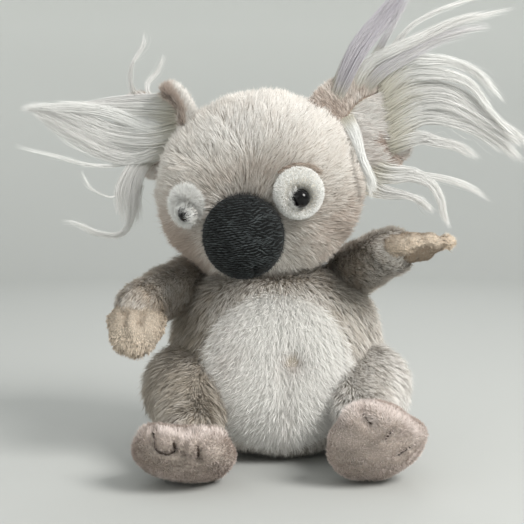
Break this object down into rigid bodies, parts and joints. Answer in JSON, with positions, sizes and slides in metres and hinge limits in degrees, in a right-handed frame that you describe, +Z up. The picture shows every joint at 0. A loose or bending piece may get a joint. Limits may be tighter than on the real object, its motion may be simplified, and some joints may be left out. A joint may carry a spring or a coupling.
{
  "type": "plush koala",
  "caption": "Seated plush koala with long tufted ears, a padded velour nose, a pale belly and soft limbs that swing at their seams.",
  "frame": {"origin": "middle of the flat seat under the body", "axes": "+Z up, the face looks along -Y and the toy's left side is at +X"},
  "size_m": [0.2903, 0.1543, 0.2664],
  "materials": {
    "plush": "beige-grey pile, 8 to 10 mm long",
    "white_plush": "white long pile and hair",
    "stuffing": "loose polyester fibre",
    "velour": "short charcoal knit velour",
    "eye": "polished black",
    "washer": "moulded natural",
    "terry": "curly looped pile",
    "sole": "short brushed pile",
    "pellets": "bag of small beads",
    "thread": "twisted thread"
  },
  "bodies": {
    "root": {"body_cover": "plush", "belly_panel": "white_plush", "body_stuffing": "stuffing", "bean_bag": "pellets"},
    "neck": {"neck_ball": "plush"},
    "head": {"head_cover": "plush", "head_stuffing": "stuffing", "nose_cover": "velour", "nose_stuffing": "stuffing", "eye_patch_left": "white_plush", "eye_left": "eye", "eye_washer_left": "washer", "eye_patch_right": "white_plush", "eye_right": "eye", "eye_washer_right": "washer"},
    "ear_left": {"ear_back_left": "plush", "ear_front_left": "white_plush", "ear_hair_left": "white_plush"},
    "arm_left": {"arm_sleeve_left": "plush", "arm_stuffing_left": "stuffing"},
    "paw_left": {"paw_cover_left": "terry", "paw_stuffing_left": "stuffing"},
    "leg_left": {"leg_cover_left": "plush", "leg_stuffing_left": "stuffing"},
    "foot_left": {"foot_upper_left": "sole", "foot_sole_left": "sole", "foot_stuffing_left": "stuffing", "toe_stitch_left_1": "thread", "toe_stitch_left_2": "thread", "toe_stitch_left_3": "thread"},
    "ear_right": {"ear_back_right": "plush", "ear_front_right": "white_plush", "ear_hair_right": "white_plush"},
    "arm_right": {"arm_sleeve_right": "plush", "arm_stuffing_right": "stuffing"},
    "paw_right": {"paw_cover_right": "terry", "paw_stuffing_right": "stuffing"},
    "leg_right": {"leg_cover_right": "plush", "leg_stuffing_right": "stuffing"},
    "foot_right": {"foot_upper_right": "sole", "foot_sole_right": "sole", "foot_stuffing_right": "stuffing", "toe_stitch_right_1": "thread", "toe_stitch_right_2": "thread", "toe_stitch_right_3": "thread"}
  },
  "joints": [
    {"name": "head_turn", "type": "hinge", "parent": "root", "child": "neck", "pos_m": [-0.004, -0.004, 0.0975], "axis": [0, 0, 1], "range_deg": [-25, 25], "stiffness_Nm_per_rad": 0.8},
    {"name": "head_nod", "type": "hinge", "parent": "neck", "child": "head", "pos_m": [-0.004, -0.004, 0.0975], "axis": [1, 0, 0], "range_deg": [-8, 8], "stiffness_Nm_per_rad": 2},
    {"name": "ear_fold_left", "type": "hinge", "parent": "head", "child": "ear_left", "pos_m": [0.04285, -0.02159, 0.17319], "axis": [-0.5532, -0.101, 0.8269], "range_deg": [-15, 15], "stiffness_Nm_per_rad": 0.15},
    {"name": "shoulder_left", "type": "hinge", "parent": "root", "child": "arm_left", "pos_m": [0.0408, 0, 0.098], "axis": [-0.9135, -0.4067, 0], "range_deg": [-10, 8], "stiffness_Nm_per_rad": 0.4},
    {"name": "wrist_left", "type": "hinge", "parent": "arm_left", "child": "paw_left", "pos_m": [0.05801, -0.03866, 0.11175], "axis": [-0.9135, -0.4067, 0], "range_deg": [-10, 10], "stiffness_Nm_per_rad": 0.15},
    {"name": "hip_left", "type": "hinge", "parent": "root", "child": "leg_left", "pos_m": [0.04578, -0.014, 0.036], "axis": [1, 0, 0], "range_deg": [-8, 6], "stiffness_Nm_per_rad": 0.3},
    {"name": "ankle_left", "type": "hinge", "parent": "leg_left", "child": "foot_left", "pos_m": [0.04377, -0.06304, 0.02605], "axis": [1, 0, 0], "range_deg": [-12, 12], "stiffness_Nm_per_rad": 0.15},
    {"name": "ear_fold_right", "type": "hinge", "parent": "head", "child": "ear_right", "pos_m": [-0.0636, 0.00153, 0.16775], "axis": [-0.2749, 0.6266, -0.7293], "range_deg": [-15, 15], "stiffness_Nm_per_rad": 0.15},
    {"name": "shoulder_right", "type": "hinge", "parent": "root", "child": "arm_right", "pos_m": [-0.0494, 0, 0.092], "axis": [-0.8829, 0.4695, 0], "range_deg": [-10, 8], "stiffness_Nm_per_rad": 0.4},
    {"name": "wrist_right", "type": "hinge", "parent": "arm_right", "child": "paw_right", "pos_m": [-0.06998, -0.03869, 0.08427], "axis": [-0.8829, 0.4695, 0], "range_deg": [-10, 10], "stiffness_Nm_per_rad": 0.15},
    {"name": "hip_right", "type": "hinge", "parent": "root", "child": "leg_right", "pos_m": [-0.04578, -0.014, 0.036], "axis": [1, 0, 0], "range_deg": [-8, 6], "stiffness_Nm_per_rad": 0.3},
    {"name": "ankle_right", "type": "hinge", "parent": "leg_right", "child": "foot_right", "pos_m": [-0.04326, -0.06409, 0.02443], "axis": [1, 0, 0], "range_deg": [-12, 12], "stiffness_Nm_per_rad": 0.15}
  ]
}
